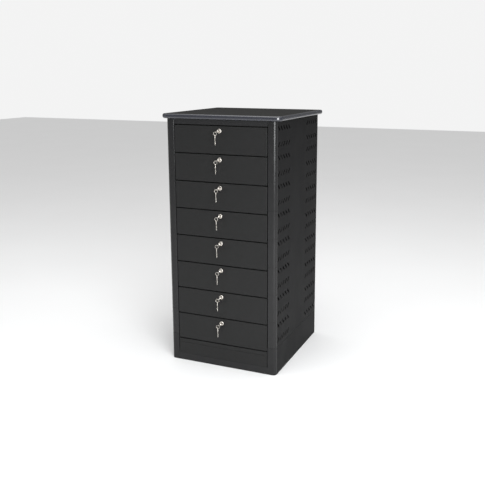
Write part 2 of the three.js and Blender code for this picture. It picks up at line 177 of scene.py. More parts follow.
# %% The handling marks group
marks_group, inlet, outlet = new_group(
    "handling_marks", {"Marks Per Metre": 14.0, "Strength": 0.08}, ["Roughness Shift"])
place = add(marks_group, "ShaderNodeTexCoord").outputs["Object"]
stretched = add(marks_group, "ShaderNodeVectorMath", {0: place, 1: (1.0, 1.0, 0.45)}, operation="MULTIPLY")
patches = add(marks_group, "ShaderNodeTexNoise",
              {"Vector": stretched.outputs[0], "Scale": inlet["Marks Per Metre"], "Detail": 5.0, "Distortion": 0.6})
centred = math_node(marks_group, "SUBTRACT", patches.outputs["Fac"], 0.5)
shift = math_node(marks_group, "MULTIPLY", centred, inlet["Strength"])
marks_group.links.new(shift, outlet.inputs["Roughness Shift"])
print("handling_marks has", len(marks_group.nodes), "nodes")

# %% [markdown]
# ## Settled dust
# Dust lies on what faces up. The normal's upward part says how much a face can hold, and a fine noise makes it
# patchy.

# %% The settled dust group
dust_group, inlet, outlet = new_group("settled_dust", {"Amount": 0.2, "Specks Per Metre": 260.0}, ["Mask"])
place = add(dust_group, "ShaderNodeTexCoord").outputs["Object"]
up = add(dust_group, "ShaderNodeSeparateXYZ", {0: add(dust_group, "ShaderNodeNewGeometry").outputs["Normal"]})
facing = math_node(dust_group, "MAXIMUM", up.outputs["Z"], 0.0)
specks = add(dust_group, "ShaderNodeTexNoise", {"Vector": place, "Scale": inlet["Specks Per Metre"], "Detail": 6.0})
patchy = add(dust_group, "ShaderNodeMapRange", {"Value": specks.outputs["Fac"], "From Min": 0.38, "From Max": 0.75})
held = math_node(dust_group, "MULTIPLY", facing, patchy.outputs["Result"])
dust_group.links.new(math_node(dust_group, "MULTIPLY", held, inlet["Amount"], clamp=True), outlet.inputs["Mask"])
print("settled_dust has", len(dust_group.nodes), "nodes")

# %% [markdown]
# ## Plated skin
# Plating is never one even colour: the bath leaves slow clouds, and the tool that shaped the metal leaves fine
# lines under the skin. One group gives both values, and each plated metal decides how strongly to use them.

# %% The plated skin group
plate_group, inlet, outlet = new_group(
    "plated_skin", {"Clouds Per Metre": 120.0, "Lines Per Metre": 2600.0}, ["Clouds", "Lines"])
place = add(plate_group, "ShaderNodeTexCoord").outputs["Object"]
clouds = add(plate_group, "ShaderNodeTexNoise", {"Vector": place, "Scale": inlet["Clouds Per Metre"], "Detail": 5.0})
long_ways = add(plate_group, "ShaderNodeVectorMath", {0: place, 1: (1.0, 0.05, 1.0)}, operation="MULTIPLY")
lines = add(plate_group, "ShaderNodeTexNoise",
            {"Vector": long_ways.outputs[0], "Scale": inlet["Lines Per Metre"], "Detail": 3.0})
plate_group.links.new(clouds.outputs["Fac"], outlet.inputs["Clouds"])
plate_group.links.new(lines.outputs["Fac"], outlet.inputs["Lines"])
print("shared groups:", ", ".join(group.name for group in bpy.data.node_groups))

# %% [markdown]
# ## Starting a finish
# Three short helpers place a shared group, open a new material, and turn a height into a bump on its shader.

# %% Helpers for finishes
def use(tree, group, **values):
    """Places a shared group in a material with that material's own values."""
    made = add(tree, "ShaderNodeGroup", node_tree=group)
    for name, value in values.items():
        made.inputs[name.replace("_", " ").title()].default_value = value
    return made.outputs


def start_material(name):
    material = bpy.data.materials.new(name)
    material.use_nodes = True
    tree = material.node_tree
    return material, tree, tree.nodes["Principled BSDF"]


def add_bump(tree, shader, height, strength, distance):
    bump = add(tree, "ShaderNodeBump", {"Height": height, "Strength": strength, "Distance": distance})
    tree.links.new(bump.outputs["Normal"], shader.inputs["Normal"])

# %% [markdown]
# ## Black powder coat
# Everything made of folded sheet is powder coated: the front parts satin, the side panels coarser and flatter, the
# insides matt. The side panels' darker colour is painted shade for the sides, and the insides' much darker colour is
# painted shade. One function makes them all: base colour with slow film waves, grain in the bump, shine that shifts
# where hands go, pale dust on top faces, and a little bare grey where edges rub.

# %% Powder coats
RUBBED_GREY = (0.16, 0.16, 0.165)
DUST_COLOUR = (0.24, 0.23, 0.21)
FILM_DEPTH = 0.2 * MM


def powder_coat(name, colour, roughness, gloss, hills, bump, wear, dust):
    material, tree, shader = start_material(name)
    grain = use(tree, grain_group, hills_per_metre=hills)
    lighter = tuple(min(1.0, part * 1.35) for part in colour)
    film = blend_colour(tree, grain["Waves"], colour, lighter)
    edges = use(tree, edge_group, radius=0.0007, strength=wear)
    rubbed = blend_colour(tree, edges["Mask"], film, RUBBED_GREY)
    specks = use(tree, dust_group, amount=dust)
    dusty = blend_colour(tree, specks["Mask"], rubbed, DUST_COLOUR)
    tree.links.new(dusty, shader.inputs["Base Color"])
    marks = use(tree, marks_group, strength=0.14)
    shine = math_node(tree, "ADD", marks["Roughness Shift"], roughness)
    tree.links.new(math_node(tree, "ADD", shine, math_node(tree, "MULTIPLY", specks["Mask"], 0.3)),
                   shader.inputs["Roughness"])
    shader.inputs["Specular IOR Level"].default_value = gloss
    add_bump(tree, shader, grain["Height"], bump, FILM_DEPTH)
    return material


cabinet_coat = powder_coat("cabinet powder coat", (0.0125, 0.0125, 0.0130), 0.36, 0.26, 1500.0, 0.16, 0.20, 0.04)
post_coat = powder_coat("corner post powder coat", (0.0098, 0.0098, 0.0102), 0.22, 0.37, 1500.0, 0.12, 0.20, 0.04)
# The side coat's darker colour is painted shade for the sides; its roughness and grain are its own.
shaded_side_coat = powder_coat("shaded side panel powder coat", (0.0062, 0.0062, 0.0065), 0.58, 0.10, 1100.0, 0.26, 0.05, 0.04)
# The inside coat's very dark colour is painted shade for the drawer insides and the slot edges.
shaded_inside_coat = powder_coat("shaded inside powder coat", (0.0032, 0.0032, 0.0034), 0.66, 0.05, 1100.0, 0.26, 0.20, 0.20)
drawer_coat = powder_coat("drawer powder coat", (0.0110, 0.0110, 0.0110), 0.44, 0.24, 1700.0, 0.16, 0.22, 0.04)
print("powder coats:", sum("powder coat" in material.name for material in bpy.data.materials))

# %% [markdown]
# ## Worktop laminate and its edge
# The top face is a matt laminate with a fine pebble print pressed into it. The rounded edge is a moulded band:
# smoother and glossier, so it picks up bright lines where the light meets the curve. Its blue tint is a painted
# reflection of cool light.

# %% Worktop finishes
def laminate_top():
    material, tree, shader = start_material("worktop laminate")
    place = add(tree, "ShaderNodeTexCoord").outputs["Object"]
    pebbles = add(tree, "ShaderNodeTexVoronoi", {"Vector": place, "Scale": 900.0}, feature="SMOOTH_F1")
    grain = use(tree, grain_group, hills_per_metre=2600.0, waves_per_metre=9.0)
    face = blend_colour(tree, grain["Waves"], (0.0115, 0.0115, 0.0113), (0.0165, 0.0165, 0.0160))
    specks = use(tree, dust_group, amount=0.06)
    tree.links.new(blend_colour(tree, specks["Mask"], face, (0.18, 0.175, 0.165)), shader.inputs["Base Color"])
    shader.inputs["Specular IOR Level"].default_value = 0.12
    marks = use(tree, marks_group, marks_per_metre=9.0, strength=0.20)
    shine = math_node(tree, "ADD", marks["Roughness Shift"], 0.62)
    tree.links.new(math_node(tree, "ADD", shine, math_node(tree, "MULTIPLY", specks["Mask"], 0.25)),
                   shader.inputs["Roughness"])
    add_bump(tree, shader, math_node(tree, "ADD", pebbles.outputs["Distance"], grain["Height"]), 0.25, 0.00015)
    return material


def moulded_edge():
    material, tree, shader = start_material("worktop moulded edge")
    grain = use(tree, grain_group, hills_per_metre=500.0, waves_per_metre=18.0)
    # The blue tint in these colours is a painted reflection of cool light.
    body = blend_colour(tree, grain["Waves"], (0.022, 0.023, 0.030), (0.030, 0.032, 0.041))
    edges = use(tree, edge_group, radius=0.0012, strength=0.5)
    tree.links.new(blend_colour(tree, edges["Mask"], body, (0.2, 0.2, 0.21)), shader.inputs["Base Color"])
    marks = use(tree, marks_group, marks_per_metre=30.0, strength=0.12)
    tree.links.new(math_node(tree, "ADD", marks["Roughness Shift"], 0.15), shader.inputs["Roughness"])
    shader.inputs["Coat Weight"].default_value = 0.7
    shader.inputs["Coat Roughness"].default_value = 0.05
    add_bump(tree, shader, grain["Height"], 0.08, 0.0002)
    return material


worktop_laminate = laminate_top()
worktop_edge = moulded_edge()
print("worktop finishes:", worktop_laminate.name, "and", worktop_edge.name)

# %% [markdown]
# ## Nickel and zinc
# The locks and keys are nickel plated: bright, faintly warm, with fine turning lines and scratches. Runner racks
# and the cam frame are black zinc plated. That skin is a dark, cloudy film, only partly metal to the eye. It is
# also made near black as painted shade, so the gaps between the drawers read dark and nothing glints in them.

# %% Metals
LINE_DEPTH = 0.05 * MM


def plated(name, colour, cloud_colour, roughness, scratch, clouds_per_metre, metal=1.0):
    material, tree, shader = start_material(name)
    plate = use(tree, plate_group, clouds_per_metre=clouds_per_metre)
    skin = blend_colour(tree, plate["Clouds"], colour, cloud_colour)
    edges = use(tree, edge_group, radius=0.0004, strength=0.8)
    bare = tuple(min(1.0, part * 1.15) for part in colour)
    tree.links.new(blend_colour(tree, edges["Mask"], skin, bare), shader.inputs["Base Color"])
    marks = use(tree, marks_group, marks_per_metre=80.0, strength=0.16)
    rough = math_node(tree, "ADD", marks["Roughness Shift"], roughness)
    tree.links.new(math_node(tree, "ADD", rough, math_node(tree, "MULTIPLY", plate["Lines"], 0.08)),
                   shader.inputs["Roughness"])
    shader.inputs["Metallic"].default_value = metal
    shader.inputs["Specular IOR Level"].default_value = 0.1
    add_bump(tree, shader, plate["Lines"], scratch, LINE_DEPTH)
    return material


nickel = plated("nickel plate", (0.78, 0.74, 0.69), (0.66, 0.62, 0.57), 0.20, 0.10, 120.0)
key_nickel = plated("key nickel", (0.70, 0.665, 0.615), (0.58, 0.545, 0.50), 0.26, 0.22, 180.0)
# Near black partly as the plating's colour and partly as painted shade for the gaps between drawers.
zinc = plated("black zinc plate", (0.010, 0.010, 0.011), (0.018, 0.017, 0.016), 0.48, 0.15, 40.0, 0.3)
print("metals:", ", ".join(metal.name for metal in (nickel, key_nickel, zinc)))

# %% [markdown]
# ## Dressing the parts that keep their shape
# Inner parts of folded sheet are already right. They get the tiny round that a folded or cut edge has, from a
# Bevel modifier, and even shading from weighted normals. The loaded mesh itself is left as it is.

# %% Dress the plain sheet parts
def dress(node, material, edge_round=0.35 * MM):
    part = frame["nodes"][node]
    part.data.materials.clear()
    part.data.materials.append(material)
    part.data.shade_smooth()
    weld = part.modifiers.new("weld", "WELD")
    weld.merge_threshold = 0.01 * MM
    bevel = part.modifiers.new("round", "BEVEL")
    bevel.width = edge_round
    bevel.segments = 2
    bevel.limit_method = "ANGLE"
    bevel.angle_limit = math.radians(40)
    shade = part.modifiers.new("shade", "WEIGHTED_NORMAL")
    shade.keep_sharp = True
    return part


for node in ("top_panel", "back_panel"):
    dress(node, cabinet_coat)
dress("kick_panel", drawer_coat, 0.6 * MM)
for node in ("left_runner_rack", "right_runner_rack", "cam_frame"):
    dress(node, zinc)
# The trays take the inside coat, whose very dark colour is painted shade.
for row in DRAWERS:
    dress(f"drawer_{row}_tray", shaded_inside_coat)
    dress(f"drawer_{row}_lock_plug", nickel, 0.2 * MM)
print("parts that keep their shape:", sum(bool(part.modifiers) for part in frame["nodes"].values()))

# %% [markdown]
# ## Helpers for meshes
# Most pieces here are rings of points skinned together: an outline, drawn again and again with a small inset,
# gives a rounded edge. Curves with holes give the flat stamped pieces. All meshes stand in the chest's own frame,
# so their objects stay at the origin.

# %% Mesh helpers
def finish_mesh(name, bm, materials, smooth_angle=35):
    bmesh.ops.remove_doubles(bm, verts=bm.verts, dist=0.002 * MM)
    bmesh.ops.recalc_face_normals(bm, faces=bm.faces)
    mesh = bpy.data.meshes.new(name)
    bm.to_mesh(mesh)
    bm.free()
    mesh.shade_smooth()
    mesh.set_sharp_from_angle(angle=math.radians(smooth_angle))
    for material in materials:
        mesh.materials.append(material)
    made = bpy.data.objects.new(name, mesh)
    bpy.context.scene.collection.objects.link(made)
    shade = made.modifiers.new("shade", "WEIGHTED_NORMAL")
    shade.weight = 100
    shade.keep_sharp = True
    return made


def hang_on(piece, body, slot, *nodes):
    """The piece moves with a body and stands for the nodes named; its slot argument is not used."""
    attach(piece, body)
    if nodes:
        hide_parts(*nodes)
    return piece


def rounded_rectangle(low, high, radii, steps):
    """Points of a rounded rectangle, anticlockwise, each with its outward direction."""
    corners = [(low[0], low[1], math.pi), (high[0], low[1], 1.5 * math.pi), (high[0], high[1], 0.0),
               (low[0], high[1], 0.5 * math.pi)]
    points = []
    for (u, v, start), radius in zip(corners, radii):
        centre = Vector((u + radius if u == low[0] else u - radius, v + radius if v == low[1] else v - radius))
        for i in range(steps + 1):
            angle = start + 0.5 * math.pi * i / steps
            way = Vector((math.cos(angle), math.sin(angle)))
            points.append((centre + way * radius, way))
    return points


def skin(bm, rings, wrap=False):
    """Joins rings of the same number of points with quads; returns the rings of vertices."""
    made = [[bm.verts.new(point) for point in ring] for ring in rings]
    pairs = list(zip(made, made[1:] + made[:1]))
    for first, second in pairs if wrap else pairs[:-1]:
        for j in range(len(first)):
            k = (j + 1) % len(first)
            bm.faces.new((first[j], first[k], second[k], second[j]))
    return made

# %% [markdown]
# ## The worktop
# A board with a rounded nose all round and two large front corners. The outline is drawn once, then repeated up a
# half-round profile, so the highlight runs unbroken along the edge. Faces on the nose take the moulded finish.

# %% Build the worktop
TOP_NOSE = 7.0 * MM
FRONT_CORNER = 26 * MM
REAR_CORNER = 8 * MM
NOSE_STEPS = 8


def build_worktop():
    low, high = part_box("worktop")
    corners = (FRONT_CORNER, FRONT_CORNER, REAR_CORNER, REAR_CORNER)
    outline = rounded_rectangle((low.x, low.y), (high.x, high.y), corners, 14)
    levels = []
    for i in range(NOSE_STEPS + 1):
        angle = 0.5 * math.pi * i / NOSE_STEPS
        levels.append((TOP_NOSE * (1 - math.sin(angle)), low.z + TOP_NOSE * (1 - math.cos(angle))))
    levels += [(inset, low.z + high.z - z) for inset, z in reversed(levels)]
    bm = bmesh.new()
    rings = skin(bm, [[(*(point - way * inset), z) for point, way in outline] for inset, z in levels])
    for face in bm.faces:
        face.material_index = 1
    bm.faces.new(rings[0])
    bm.faces.new(rings[-1])
    return finish_mesh("worktop_board", bm, [worktop_laminate, worktop_edge], 50)


worktop = hang_on(build_worktop(), "cabinet", "worktop_laminate", "worktop")
print("worktop faces:", len(worktop.data.polygons))

# %% [markdown]
# ## Stamped sheets
# A side panel is one sheet with rows of slots punched in it. A flat curve with inner loops is the natural tool:
# Blender fills the outer loop, leaves the inner ones open, and its bevel gives every slot the small round edge
# that powder coat leaves on a punched hole.

# %% Helper for stamped sheets
def add_loop(curve, points):
    spline = curve.splines.new("POLY")
    spline.points.add(len(points) - 1)
    for target, (u, v) in zip(spline.points, points):
        target.co = (u, v, 0.0, 1.0)
    spline.use_cyclic_u = True


def stamped(name, outline, holes, thickness, edge_round, placing):
    """A flat sheet with holes. It is drawn round the plane z = 0, then moved into the chest by placing."""
    curve = bpy.data.curves.new(name, "CURVE")
    curve.dimensions = "2D"
    curve.fill_mode = "BOTH"
    curve.extrude = thickness / 2 - edge_round
    curve.bevel_depth = edge_round
    curve.bevel_resolution = 1
    curve.offset = -edge_round
    add_loop(curve, outline)
    for hole in holes:
        add_loop(curve, list(reversed(hole)))
    carrier = bpy.data.objects.new(name, curve)
    bpy.context.scene.collection.objects.link(carrier)
    bpy.context.view_layer.update()
    evaluated = carrier.evaluated_get(bpy.context.evaluated_depsgraph_get())
    mesh = bpy.data.meshes.new_from_object(evaluated)
    bpy.data.objects.remove(carrier)
    bpy.data.curves.remove(curve)
    mesh.transform(placing)
    bm = bmesh.new()
    bm.from_mesh(mesh)
    bpy.data.meshes.remove(mesh)
    return bm


def add_slab(bm, low, high):
    """A plain block of sheet as part of a larger mesh."""
    made = bmesh.ops.create_cube(bm, size=1.0)["verts"]
    centre = [(a + b) / 2 for a, b in zip(low, high)]
    size = [b - a for a, b in zip(low, high)]
    bmesh.ops.scale(bm, vec=size, verts=made)
    bmesh.ops.translate(bm, vec=centre, verts=made)

# %% [markdown]
# ## The slotted side panels
# Each drawer bay has two rows of five slots at the front and two at the back. The rows lean against each other, so
# they read as arrowheads that point to the middle of the panel. The cut edges of a slot take the very dark inside
# coat, which is painted shade that makes the slots read dark.

# %% Build the side panels
SLOT_LONG = 26 * MM
SLOT_WIDE = 7.5 * MM
SLOT_COLUMNS = [inset * MM for inset in (30, 58, 86, 114, 142)]
SLOT_ROWS = [(29 * MM, 1), (92 * MM, -1)]
SLOT_END_STEPS = 6
RETURN_WIDE = 13 * MM
CUT_EDGE = 0.7


def slot_loop(y, z, lean):
    """A round-ended slot leaning 45 degrees, in the panel's own plane."""
    along = Vector((lean, 1)).normalized()
    across = Vector((along.y, -along.x))
    half, radius = SLOT_LONG / 2 - SLOT_WIDE / 2, SLOT_WIDE / 2
    points = []
    for end, start in ((1, 0.0), (-1, math.pi)):
        for i in range(SLOT_END_STEPS + 1):
            angle = start + math.pi * i / SLOT_END_STEPS
            points.append(Vector((y, z)) + along * (half * end + radius * math.sin(angle))
                          + across * radius * math.cos(angle))
    return points if (points[1] - points[0]).cross(points[2] - points[1]) > 0 else points[::-1]


def build_side(side):
    front, rear = panel_low.y, panel_high.y
    low, high = panel_low.z, panel_high.z
    outline = [(front, low), (rear, low), (rear, high), (front, high)]
    slots = []
    for bay in range(8):
        for rise, lean in SLOT_ROWS:
            for inset in SLOT_COLUMNS:
                slots.append(slot_loop(face_y + inset, low + bay * pitch + rise, lean))
                slots.append(slot_loop(rear - inset, low + bay * pitch + rise, -lean))
    outer = panel_high.x
    placing = Matrix(((0, 0, 1, outer - sheet / 2), (1, 0, 0, 0), (0, 1, 0, 0), (0, 0, 0, 1)))
    bm = stamped("side", outline, slots, sheet, 0.3 * MM, placing)
    add_slab(bm, (outer - RETURN_WIDE, front, low), (outer - sheet, front + sheet, high))
    add_slab(bm, (outer - RETURN_WIDE, rear - sheet, low), (outer - sheet, rear, high))
    name = "right_side" if side > 0 else "left_side"
    if side < 0:
        bmesh.ops.scale(bm, vec=(-1, 1, 1), verts=bm.verts)
    made = finish_mesh(f"{name}_sheet", bm, [shaded_side_coat, shaded_inside_coat])
    # The flat faces take the side coat, and the rest, the slots' cut edges among them, take the inside coat; both
    # darker colours are painted shade.
    for face in made.data.polygons:
        face.material_index = int(abs(face.normal.x) < CUT_EDGE)
    return hang_on(made, "cabinet", "cabinet_coat", f"{name}_panel")


for side in (1, -1):
    print(build_side(side).name, "stands in for its panel")

# %% [markdown]
# ## The corner posts
# A post is one strip folded twice: a short return beside the drawers, a flat face, and a wide round nose. The
# joint lines between the bays are shallow grooves that run round the nose, so the profile is swept upwards with a
# small dent at each seam.

# %% Build the corner posts
POST_NOSE = 15 * MM
POST_FOLD = 2.4 * MM
POST_RETURN = 14 * MM
NOSE_TURN = 16
FOLD_TURN = 6
SEAM_DEEP = 0.8 * MM
SEAM_HALF = 0.6 * MM
SEAM_FLOOR = 0.6 * SEAM_HALF


def post_profile(dent):
    """Outline of the folded strip seen from above, for the right post."""
    low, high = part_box("right_corner_post")
    fold_x, nose_x = low.x + POST_FOLD, high.x - POST_NOSE
    fold_y, nose_y = low.y + POST_FOLD, low.y + POST_NOSE
    outside = [(low.x, low.y + POST_RETURN)]
    for i in range(FOLD_TURN + 1):
        angle = math.pi + 0.5 * math.pi * i / FOLD_TURN
        reach = POST_FOLD - dent
        outside.append((fold_x + reach * math.cos(angle) - dent, fold_y + reach * math.sin(angle)))
    for i in range(NOSE_TURN + 1):
        angle = 1.5 * math.pi + 0.5 * math.pi * i / NOSE_TURN
        reach = POST_NOSE - dent
        outside.append((nose_x + reach * math.cos(angle), nose_y + reach * math.sin(angle)))
    inside = []
    for i in range(NOSE_TURN + 1):
        angle = 2 * math.pi - 0.5 * math.pi * i / NOSE_TURN
        reach = POST_NOSE - sheet
        inside.append((nose_x + reach * math.cos(angle), nose_y + reach * math.sin(angle)))
    for i in range(FOLD_TURN + 1):
        angle = 1.5 * math.pi - 0.5 * math.pi * i / FOLD_TURN
        reach = POST_FOLD - sheet
        inside.append((fold_x + reach * math.cos(angle), fold_y + reach * math.sin(angle)))
    inside.append((low.x + sheet, low.y + POST_RETURN))
    return outside + inside


def build_post(side):
    low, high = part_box("right_corner_post")
    levels = [(low.z, SEAM_DEEP), (low.z + SEAM_FLOOR, SEAM_DEEP), (low.z + SEAM_HALF, 0.0)]
    for bay in range(1, 8):
        seam = panel_low.z + bay * pitch
        levels += [(seam - SEAM_HALF, 0.0), (seam - SEAM_FLOOR, SEAM_DEEP), (seam + SEAM_FLOOR, SEAM_DEEP),
                   (seam + SEAM_HALF, 0.0)]
    levels.append((high.z, 0.0))
    bm = bmesh.new()
    rings = skin(bm, [[(x * side, y, z) for x, y in post_profile(dent)] for z, dent in levels])
    bm.faces.new(rings[0])
    bm.faces.new(rings[-1])
    name = "right" if side > 0 else "left"
    made = finish_mesh(f"{name}_post", bm, [post_coat], 30)
    return hang_on(made, "cabinet", "cabinet_coat", f"{name}_corner_post")


for side in (1, -1):
    print(build_post(side).name, "stands in for its corner post")

# %% [markdown]
# ## The base frame
# The lowest ring is one strip bent round the whole body, open at the front where the kick panel sits. A low front
# strip, its ledge and two cheeks close the mouth, and a floor pan lies inside. Its top edge is set in a little, so
# the joint to the posts reads as a dark line. Its long sides take the flatter coat of the side panels, whose darker
# colour is painted shade.

# %% Build the base frame
MOUTH_HALF = 205.5 * MM
STRIP_TOP = 30 * MM
CHEEK_BACK = 14 * MM
FOOT_EDGE = 0.4 * MM
SIDEWAYS = 0.95


def strip_path(offset):
    """The bent strip's line from one side of the mouth round the body to the other."""
    half, front, rear = panel_high.x - offset, face_y + offset, panel_high.y - offset
    radius = POST_NOSE - offset
    points = [(-MOUTH_HALF, front)]
    for i in range(NOSE_TURN + 1):
        angle = 1.5 * math.pi - 0.5 * math.pi * i / NOSE_TURN
        points.append((-half + radius + radius * math.cos(angle), front + radius + radius * math.sin(angle)))
    points += [(-half, rear), (half, rear)]
    for i in range(NOSE_TURN + 1):
        angle = -0.5 * math.pi * i / NOSE_TURN
        points.append((half - radius + radius * math.cos(angle), front + radius + radius * math.sin(angle)))
    return points + [(MOUTH_HALF, front)]


def build_base():
    low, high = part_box("base_frame")
    under = low.z + FOOT_EDGE
    levels = [(low.z, FOOT_EDGE), (under, 0.0), (high.z - SEAM_HALF, 0.0), (high.z - SEAM_FLOOR, SEAM_DEEP),
              (high.z, SEAM_DEEP)]
    bm = bmesh.new()
    inner = strip_path(sheet)[::-1]
    rings = skin(bm, [[(x, y, z) for x, y in strip_path(inset) + inner] for z, inset in levels])
    bm.faces.new(rings[0])
    bm.faces.new(rings[-1])
    floor_line = strip_path(sheet)
    pan = skin(bm, [[(x, y, z) for x, y in floor_line] for z in (under, low.z + sheet)])
    bm.faces.new(pan[0])
    bm.faces.new(pan[1])
    add_slab(bm, (-MOUTH_HALF, face_y, under), (MOUTH_HALF, face_y + sheet, STRIP_TOP))
    add_slab(bm, (-MOUTH_HALF, face_y + sheet, STRIP_TOP - sheet), (MOUTH_HALF, face_y + CHEEK_BACK, STRIP_TOP))
    for side in (-1, 1):
        start, end = sorted((side * MOUTH_HALF, side * (MOUTH_HALF + sheet)))
        add_slab(bm, (start, face_y + sheet, STRIP_TOP - sheet), (end, face_y + CHEEK_BACK, high.z - SEAM_HALF))
    ring = finish_mesh("base_ring", bm, [cabinet_coat, shaded_side_coat], 30)
    # Long sideways faces take the side coat, whose darker colour is painted shade.
    for face in ring.data.polygons:
        if abs(face.normal.x) > SIDEWAYS and face.center.y > face_y + POST_NOSE:
            face.material_index = 1
    return ring


base = hang_on(build_base(), "cabinet", "cabinet_coat", "base_frame")
print("base frame faces:", len(base.data.polygons))

# %% [markdown]
# ## The drawer fronts
# A front is a shallow pan: one sheet with its four edges turned back over a soft fold. The rings go from the front
# face round the fold to the end of the flange and back inside. The two flat faces are filled last, round the hole
# that the lock passes through.

# %% Build the drawer fronts
LOCK_HOLE = 8.3 * MM
FRONT_FOLD = 1.6 * MM
FRONT_CORNER_R = 3.2 * MM


def edges_of(ring):
    """The edges that join a ring's vertices, in order."""
    return [a.link_edges[[e.other_vert(a) for e in a.link_edges].index(b)] for a, b in zip(ring, ring[1:] + ring[:1])]


def build_front(row):
    low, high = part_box(f"drawer_{row}_front")
    fold, depth = FRONT_FOLD, high.y - low.y
    outline = rounded_rectangle((low.x, low.z), (high.x, high.z), (FRONT_CORNER_R,) * 4, 5)
    levels = []
    for i in range(7):
        angle = 0.5 * math.pi * i / 6
        levels.append((fold * (1 - math.sin(angle)), fold * (1 - math.cos(angle))))
    levels += [(0.0, depth), (sheet, depth)]
    for i in range(4):
        angle = 0.5 * math.pi * (3 - i) / 3
        levels.append((sheet + (fold - sheet) * (1 - math.sin(angle)), sheet + (fold - sheet) * (1 - math.cos(angle))))
    bm = bmesh.new()
    sides = skin(bm, [[(p.x, low.y + y, p.y) for p in (point - way * inset for point, way in outline)]
                      for inset, y in levels])
    centre = lock_centre(row)
    turn = [2 * math.pi * i / 32 for i in range(32)]
    hole = skin(bm, [[(LOCK_HOLE * math.cos(a), low.y + y, centre.z + LOCK_HOLE * math.sin(a)) for a in turn]
                     for y in (0.0, sheet)])
    for outer, inner in ((sides[0], hole[0]), (sides[-1], hole[1])):
        bmesh.ops.triangle_fill(bm, use_beauty=True, edges=edges_of(outer) + edges_of(inner))
    made = finish_mesh(f"front_{row}", bm, [drawer_coat], 30)
    return hang_on(made, f"drawer_{row}", "drawer_coat", f"drawer_{row}_front")


for row in DRAWERS:
    front = build_front(row)
print("one drawer front has", len(front.data.polygons), "faces")

# %% [markdown]
# ## The locks
# A cam lock is turned on a lathe: a domed head with a small step round the plug, and a threaded barrel. The
# profile is spun round the lock's own axis. Its hexagon nut sits behind the drawer front.

# %% Build the lock barrels
def spin(bm, profile, centre, turns=40):
    """Spins a closed [radius, y] profile round the Y axis through centre."""
    rings = []
    for i in range(turns):
        angle = 2 * math.pi * i / turns
        rings.append([(centre.x + r * math.cos(angle), centre.y + y, centre.z + r * math.sin(angle))
                      for r, y in profile])
    skin(bm, rings, wrap=True)


def barrel_profile():
    points = [(5.7, 22.0), (5.7, -3.6), (6.1, -3.9), (6.4, -3.9), (6.6, -4.3)]
    for i in range(8):
        angle = 0.5 * math.pi * i / 7
        points.append((6.9 + 2.6 * math.sin(angle), -1.7 - 2.9 * math.cos(angle)))
    points += [(9.5, -0.3), (8.0, -0.3)]
    thread = 1.5
    for turn in range(14):
        y = 0.6 + turn * thread
        points += [(8.0, y), (7.45, y + thread / 2)]
    return [(r * MM, y * MM) for r, y in points + [(8.0, 22.0)]]


def build_lock(row):
    centre = lock_centre(row)
    bm = bmesh.new()
    spin(bm, barrel_profile(), centre)
    barrel = finish_mesh(f"lock_{row}_barrel", bm, [nickel], 28)
    hang_on(barrel, f"drawer_{row}", "nickel_plate", f"drawer_{row}_lock_barrel")
    bm = bmesh.new()
    spin(bm, [(8.1 * MM, 1.8 * MM), (10.9 * MM, 1.8 * MM), (11.9 * MM, 2.4 * MM), (11.9 * MM, 5.7 * MM),
              (10.9 * MM, 6.3 * MM), (8.1 * MM, 6.3 * MM)], centre, turns=6)
    nut = finish_mesh(f"lock_{row}_nut", bm, [zinc], 25)
    return hang_on(nut, f"drawer_{row}", "zinc_plate")


for row in DRAWERS:
    nut = build_lock(row)
print("locks built; a nut has", len(nut.data.polygons), "faces")

# %% [markdown]
# ## The keys
# A key is stamped from sheet, so it is drawn as a flat outline: a round bow with a slot for the ring, a shoulder,
# and a blade with its cuts. The same outline serves the key in the lock and the spare. Only the placing differs.

# %% Draw the key
BOW_R = 12.0 * MM
BOW_AT = 12.5 * MM
BOW_STEPS = 40
NECK_HALF = 0.42
RING_SLOT_AT = 19.0 * MM
RING_SLOT_HALF = 7.0 * MM
RING_SLOT_R = 2.2 * MM
KEY_THICK = 2.0 * MM
SHOULDER = 4.8 * MM


def key_outline():
    """The key's edge as [along, across]; the bow is at positive along."""
    cuts = [(0, -3.2), (-4.6, -3.2), (-5.8, -2.1), (-7.0, -2.1), (-8.0, -2.8), (-9.2, -1.6), (-10.4, -1.6),
            (-11.4, -2.6), (-12.6, -2.0), (-13.8, -2.0), (-15.0, -2.5), (-17.0, -1.4), (-18.5, 0.0), (-19.0, 0.9),
            (-18.6, 2.3), (-17.9, 3.2), (0, 3.2)]
    points = [Vector((a * MM, b * MM)) for a, b in cuts]
    start = math.pi - NECK_HALF
    for i in range(BOW_STEPS + 1):
        angle = start - 2 * start * i / BOW_STEPS
        points.append(Vector((BOW_AT + BOW_R * math.cos(angle), BOW_R * math.sin(angle))))
    return points[::-1]


def ring_slot():
    points = []
    for end, start in ((-1, math.pi), (1, 0.0)):
        for i in range(9):
            angle = start + math.pi * i / 8
            points.append(Vector((RING_SLOT_AT + RING_SLOT_R * math.cos(angle),
                                  end * (RING_SLOT_HALF - RING_SLOT_R) + RING_SLOT_R * math.sin(angle))))
    return points


def build_key(name, placing):
    bm = stamped(name, key_outline(), [ring_slot()], KEY_THICK, 0.35 * MM, placing)
    return finish_mesh(name, bm, [key_nickel], 40)


print("points on a key's edge:", len(key_outline()))

# %% [markdown]
# ## Placing the keys and rings
# The key in the lock lies in its keyway, whose left end hangs a little low. The ring goes through the bow and hangs
# straight down, and the spare key rests on its lowest point. The spare's swing joint gives the point where the
# ring hangs, so the visible ring and the moving one agree.

# %% Build the keys and rings
KEY_TILT = math.radians(-33)
SPARE_TWIST = math.radians(22.5)
RING_R = 7.0 * MM
RING_DROP = 3.9 * MM
WIRE_TALL = 0.75 * MM
WIRE_DEEP = 0.42 * MM


